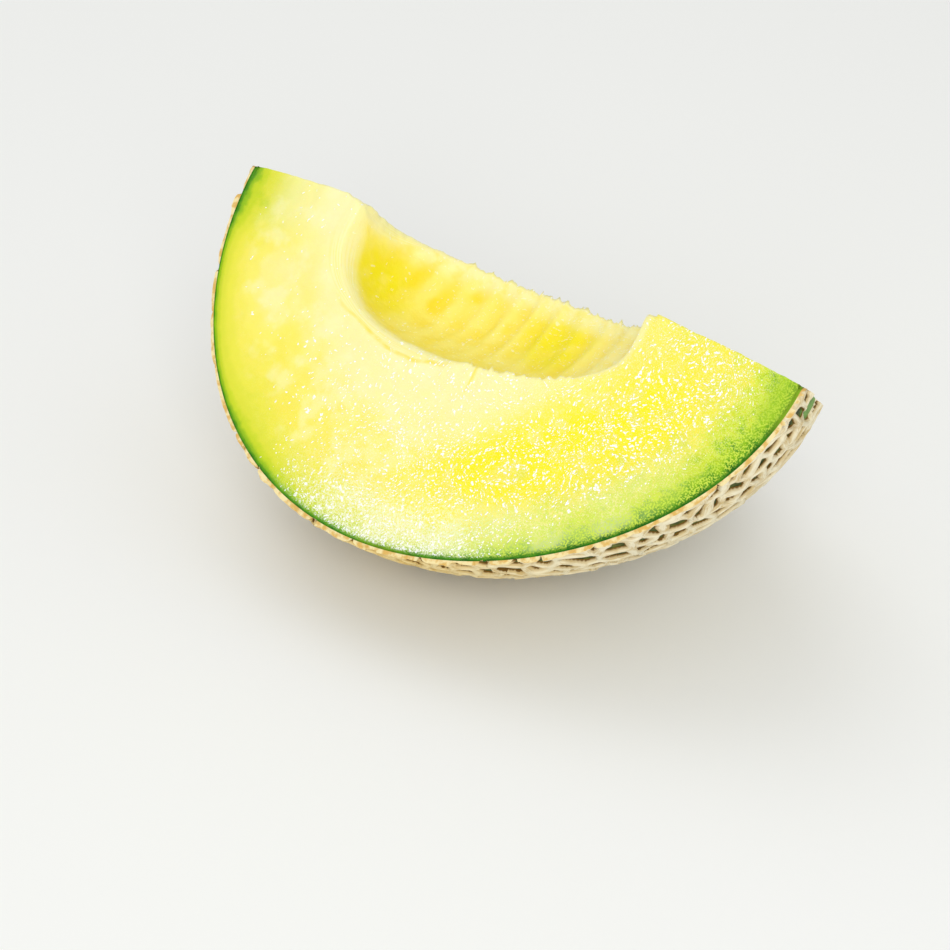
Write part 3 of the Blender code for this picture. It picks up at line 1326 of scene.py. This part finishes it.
@dataclass(frozen=True)
class FleshFinish:
    """Wet melon flesh on the cut faces and in the hollow, with painted white glints that glow a little."""

    rib: Colour = linear(255, 237, 112)
    groove: Colour = linear(252, 225, 44)
    deep: Colour = linear(247, 231, 0)
    deep_spots: tuple[Place, ...] = ((-0.036, -0.002, -0.015), (0.008, 0.008, -0.020))
    deep_radius: float = 0.014
    pale: Colour = linear(254, 245, 172)
    lip: Colour = linear(253, 245, 178)
    lip_line: Colour = linear(251, 238, 140)
    crack: Colour = linear(247, 226, 58)
    # painted highlights: white wet glints, and the strength of their painted glow
    painted_glint: Colour = linear(255, 255, 252)
    painted_glow: float = 0.10
    strokes: PaintedGlintDashes = PaintedGlintDashes(1900.0, 0.62)
    small: PaintedGlintDashes = PaintedGlintDashes(1750.0, 0.52)
    large: PaintedGlintDashes = PaintedGlintDashes(1050.0, 0.37)

    def material(self, groups: Groups, shape: Shape) -> Material:
        """Make the finish.

        Args:
            groups: The shared node groups.
            shape: Where the fruit sits.

        Returns:
            The material.
        """
        values = {
            "Subsurface Weight": 0.25,
            "Subsurface Radius": (1.0, 0.8, 0.25),
            "Subsurface Scale": 3 * MM,
            "Specular IOR Level": 0.25,
            "Coat Weight": 0.10,
            "Coat Roughness": 0.12,
            "Emission Strength": self.painted_glow,
        }
        material, graph, shader = new_material("flesh", values)
        where = Where.read(graph, groups.place)
        face = graph.group(groups.flesh)["Color"]
        colour = graph.mix(graph.attribute("wall"), face, self.wall(graph, where, shape))
        lines = self.lip_lines(graph, where)
        colour = self.rim(graph, where, colour, lines)
        painted_glints = self.painted_glints(graph, where, groups.painted_glints)
        # painted highlight: the wet glints are painted white into the base colour
        graph.feed(shader.inputs["Base Color"], graph.mix(painted_glints, colour, self.painted_glint))
        # painted glow: the same glints give off a little light of their own through emission
        graph.feed(shader.inputs["Emission Color"], graph.mix(painted_glints, (0.0, 0.0, 0.0), self.painted_glint))
        height = self.grain(graph, where, lines, painted_glints)
        graph.feed(shader.inputs["Normal"], graph.bump(height, 0.22 * MM, 0.55))
        graph.feed(shader.inputs["Roughness"], graph.fade(painted_glints, 0.0, 1.0, 0.38, 0.2))
        material.cycles.emission_sampling = "NONE"
        return material

    def wall(self, graph: Graph, where: Where, shape: Shape) -> Socket:
        """Colour of the hollow's wall.

        Args:
            graph: The material's graph.
            where: The shaded point.
            shape: Where the fruit sits.

        Returns:
            The colour: pale ribs, golden grooves, two deeper spots and a paler rim.
        """
        uneven = graph.patches(where.place, 160, 3, (0.35, 0.65), (-0.25, 0.3))
        groove = graph.math("ADD", graph.attribute("groove"), uneven, clamp=True)
        wall = graph.mix(groove, self.rib, self.groove)
        rough = graph.patches(where.place, 260, 3, (0.3, 0.6), (0.55, 1.0))
        for centre in self.deep_spots:
            spot = graph.spot(where.place, shape.place @ Vector(centre), self.deep_radius)
            wall = graph.mix(graph.product(spot, rough), wall, self.deep)
        narrow_end = graph.fade(where.along, 12.0, 27.0, 0.0, 0.8)
        pale = graph.math("MAXIMUM", graph.attribute("pale"), narrow_end)
        broken = graph.patches(where.place, 350, 3, (0.3, 0.6), (0.5, 1.0))
        return graph.mix(graph.product(pale, broken), wall, self.pale)

    def lip_lines(self, graph: Graph, where: Where) -> Socket:
        """Noise drawn out along the lip, for the fine lines that run with it."""
        lines = graph.add("ShaderNodeCombineXYZ")
        shares = ((graph.attribute("lip"), 11.0), (where.along, 0.05), (where.away, 0.05))
        for socket, share in zip(lines.inputs, shares):
            graph.feed(socket, graph.product(*share))
        return graph.noise(lines.outputs[0], 1.0, 3)

    def rim(self, graph: Graph, where: Where, colour: Socket, lines: Socket) -> Socket:
        """Lay the pale lip with its lines, and the cracks beside it, over a colour."""
        shown = graph.fade(where.away, 4.0, 12.0, 0.2, 0.9)
        faint = graph.product(graph.fade_out(lines, 0.42, 0.60), shown)
        lip = graph.mix(faint, self.lip, self.lip_line)
        colour = graph.mix(graph.fade(graph.attribute("lip"), 0.05, 0.55, 0.0, 0.75), colour, lip)
        return graph.mix(graph.product(graph.attribute("crack"), 0.8), colour, self.crack)

    def painted_glints(self, graph: Graph, where: Where, group: NodeTree) -> Socket:
        """Mask of all the painted glints, white wet dashes: strokes by the rind, small ones farther in,
        large ones deepest.
        """
        depth, along = where.depth, where.along
        edge = graph.product(
            graph.window(depth, (0.0, 0.8), (5.0, 12.0)), graph.window(along, (-38.0, -12.0), (16.0, 44.0))
        )
        middle = graph.product(
            graph.fade(depth, 5.0, 15.0),
            graph.fade(depth, 26.0, 36.0, 1.0, 0.35),
            graph.fade(along, -45.0, 12.0, 0.05, 1.0),
        )
        inside = graph.product(
            graph.fade(depth, 13.0, 21.0),
            graph.fade(along, -50.0, 5.0, 0.10, 0.62),
            graph.patches(where.place, 140, 2, (0.35, 0.6), (0.35, 1.0)),
        )
        strokes = graph.product(self.strokes.mask(graph, group, edge), 0.85)
        small = self.small.mask(graph, group, middle)
        large = self.large.mask(graph, group, inside)
        mask = graph.math("MAXIMUM", graph.math("MAXIMUM", small, large), strokes)
        return graph.product(mask, graph.fade(graph.attribute("wall"), 0.2, 0.8, 1.0, 0.3))

    def grain(self, graph: Graph, where: Where, lines: Socket, painted_glints: Socket) -> Socket:
        """Height of the wet surface's fine grain, with the lip's lines and the painted glint dashes
        standing up.
        """
        fine = graph.product(graph.noise(where.place, 2400, 2), 0.5)
        grain = graph.math("ADD", graph.noise(where.place, 700, 3), fine)
        grain = graph.math("ADD", grain, graph.product(lines, graph.attribute("lip"), 0.45))
        return graph.math("ADD", grain, graph.product(painted_glints, 0.8))


@dataclass(frozen=True)
class RindFinish:
    """Dark green skin, and pale cork cords with their fibres along them, with painted shade down the cords'
    sides and at their feet.
    """

    cork: Colour = linear(242, 233, 202)
    # darker cork for the fibres' random tone and for the painted shade down the cords' sides; foot below is
    # painted shade at their feet
    cork_dark_and_shade: Colour = linear(212, 188, 134)
    foot: Colour = linear(122, 90, 36)
    end_pale: Colour = linear(244, 226, 168)
    end_dark: Colour = linear(222, 180, 98)
    warm: Colour = linear(255, 238, 190)
    skin: Colour = linear(30, 52, 8)
    skin_pale: Colour = linear(98, 106, 36)
    bare: Colour = linear(112, 160, 66)
    bare_radius: float = 0.006

    def skin_material(self, shape: Shape) -> Material:
        """Make the finish of the skin between the cords, paler where the tip is bare."""
        values = {"Roughness": 0.5, "Specular IOR Level": 0.2}
        material, graph, shader = new_material("melon skin", values)
        place = graph.place()
        skin = graph.mix(graph.patches(place, 520, 3, (0.35, 0.7)), self.skin, self.skin_pale)
        tip = graph.fade(graph.spot(place, shape.place @ BARE_SPOT, self.bare_radius), 0.1, 0.5)
        patchy = graph.patches(place, 700, 3, (0.3, 0.6), (0.55, 1.0))
        graph.feed(shader.inputs["Base Color"], graph.mix(graph.product(tip, patchy), skin, self.bare))
        graph.feed(shader.inputs["Normal"], graph.bump(graph.noise(place, 1300, 2), 0.08 * MM, 0.4))
        return material

    def cut_material(self, groups: Groups) -> Material:
        """Make the finish of the skin's cut edge, which passes into the flesh."""
        values = {"Roughness": 0.4, "Specular IOR Level": 0.15}
        material, graph, shader = new_material("cut skin", values)
        grain = graph.noise(graph.place(), 1800, 2)
        graph.feed(shader.inputs["Base Color"], graph.group(groups.flesh)["Color"])
        graph.feed(shader.inputs["Normal"], graph.bump(grain, 0.1 * MM, 0.4))
        return material

    def strands(self, graph: Graph, place: Socket, across: Socket) -> Socket:
        """The cork's fibres, which run along each cord because they change fastest across it."""
        node = graph.add("ShaderNodeTexNoise", noise_dimensions="4D")
        graph.feed(node.inputs["Vector"], place)
        graph.feed(node.inputs["W"], graph.product(across, 0.018))
        node.inputs["Scale"].default_value = 320.0
        node.inputs["Detail"].default_value = 3.0
        return node.outputs["Fac"]

    def cork_material(self, groups: Groups) -> Material:
        """Make the finish of the cork, with painted shade down its cords' sides and at their feet, ochre
        where it is cut.
        """
        values = {"Roughness": 0.85, "Specular IOR Level": 0.2}
        material, graph, shader = new_material("cork net", values)
        place = graph.place()
        across = graph.attribute("across")
        fibres = self.strands(graph, place, across)
        light = graph.fade(graph.math("ADD", fibres, graph.noise(place, 240, 2)), 0.70, 1.10)
        cork = graph.mix(light, self.cork_dark_and_shade, self.cork)
        # painted shade: darker down each cord's sides, towards the crevices
        cork = graph.mix(graph.fade(across, 0.45, 0.92, 0.0, 0.75), cork, self.cork_dark_and_shade)
        # painted shade: darkest brown at the cords' feet, where the crevices are
        cork = graph.mix(graph.fade(across, 0.84, 1.02), cork, self.foot)
        warm = graph.fade_out(graph.group(groups.place)["Along"], 0.0, 55.0)
        cork = graph.mix(warm, cork, graph.mix(1.0, cork, self.warm, "MULTIPLY"))
        end = graph.mix(graph.patches(place, 560, 5, (0.38, 0.60)), self.end_dark, self.end_pale)
        colour = graph.mix(graph.fade(graph.attribute("cut_end"), 0.6, 0.9), cork, end)
        height = graph.math("ADD", fibres, graph.product(graph.noise(place, 2600, 2), 0.35))
        graph.feed(shader.inputs["Base Color"], colour)
        graph.feed(shader.inputs["Normal"], graph.bump(height, 0.35 * MM, 0.7))
        return material


def facing(place: Place, aim: Place) -> Quaternion:
    """The turn of a lamp or a camera at a place that looks at aim."""
    return (Vector(aim) - Vector(place)).to_track_quat("-Z", "Y")


@dataclass(frozen=True)
class Lamp:
    """One soft square light: where it hangs, its width and its power in watts."""

    name: str
    place: Place
    size: float
    power: float

    def hang(self, aim: Place) -> None:
        """Hang it so that it looks at aim."""
        light = bpy.data.lights.new(self.name, "AREA")
        light.size = self.size
        light.energy = self.power
        obj = bpy.data.objects.new(self.name, light)
        obj.location = self.place
        obj.rotation_euler = facing(self.place, aim).to_euler()
        bpy.context.scene.collection.objects.link(obj)


@dataclass(frozen=True)
class Studio:
    """Pale floor, soft lights and the camera."""

    camera_place: Place = (0.2996, -0.3775, 0.3494)
    camera_aim: Place = (-0.0107, 0.0090, 0.0)
    camera_roll: float = math.radians(-0.8)
    lens: float = 94.7
    sensor: float = 36.0
    clip_start: float = 0.01
    lamps: tuple[Lamp, ...] = (
        Lamp("key", (0.85, -1.02, 0.92), 1.00, 11.5),
        Lamp("back", (-0.75, 0.35, 1.40), 1.20, 4.0),
    )
    lamp_aim: Place = (0.0, 0.0, 0.04)
    sky: float = 0.63
    floor_size: float = 3.0
    floor_colour: Colour = linear(246, 247, 244)

    def floor(self) -> None:
        """Lay the floor."""
        bm = bmesh.new()
        bmesh.ops.create_grid(bm, x_segments=1, y_segments=1, size=self.floor_size / 2)
        mesh = bpy.data.meshes.new("floor")
        bm.to_mesh(mesh)
        bm.free()
        values = {"Base Color": self.floor_colour, "Roughness": 0.6}
        mesh.materials.append(new_material("pale floor", values)[0])
        floor = bpy.data.objects.new("floor", mesh)
        bpy.context.scene.collection.objects.link(floor)

    def light(self) -> None:
        """Light the wedge."""
        scene = bpy.context.scene
        scene.view_settings.view_transform = "Standard"
        world = bpy.data.worlds.new("studio")
        scene.world = world
        world.use_nodes = True
        background = world.node_tree.nodes["Background"]
        background.inputs["Color"].default_value = (1.0, 1.0, 1.0, 1.0)
        background.inputs["Strength"].default_value = self.sky
        for lamp in self.lamps:
            lamp.hang(self.lamp_aim)

    def camera(self) -> None:
        """Place the camera."""
        camera = bpy.data.cameras.new("camera")
        camera.lens = self.lens
        camera.sensor_width = self.sensor
        camera.clip_start = self.clip_start
        obj = bpy.data.objects.new("camera", camera)
        look = facing(self.camera_place, self.camera_aim).to_matrix().to_4x4()
        turn = look @ Matrix.Rotation(self.camera_roll, 4, "Z")
        obj.matrix_world = Matrix.Translation(self.camera_place) @ turn
        bpy.context.scene.collection.objects.link(obj)
        bpy.context.scene.camera = obj


def main() -> None:
    """Build the wedge's looks."""
    logging.basicConfig(level=logging.INFO, format="%(name)s: %(message)s")
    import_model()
    fruit = Fruit()
    shape = Shape(fruit, Cuts(fruit), Hollow(), fruit.frame())
    places = place_group(shape)
    groups = Groups(places, CutColours().group(places), PaintedGlintPattern().group())
    finish = RindFinish()
    stations = fruit.meridian(COLUMNS)
    rind = Rind(shape, stations).build([finish.skin_material(shape), finish.cut_material(groups)])
    net = CorkNet(shape).build(finish.cork_material(groups))
    flesh = FleshBody(shape, stations).build([FleshFinish().material(groups, shape)])
    for piece, slot in ((rind, "rind"), (net, "rind"), (flesh, "flesh")):
        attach(piece, BODY)
        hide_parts(NODE)
        triangles = sum(len(face.vertices) - 2 for face in piece.data.polygons)
        LOG.info("%s: %d triangles", piece.name, triangles)
    studio = Studio()
    studio.floor()
    studio.light()
    studio.camera()


if __name__ == "__main__":
    main()
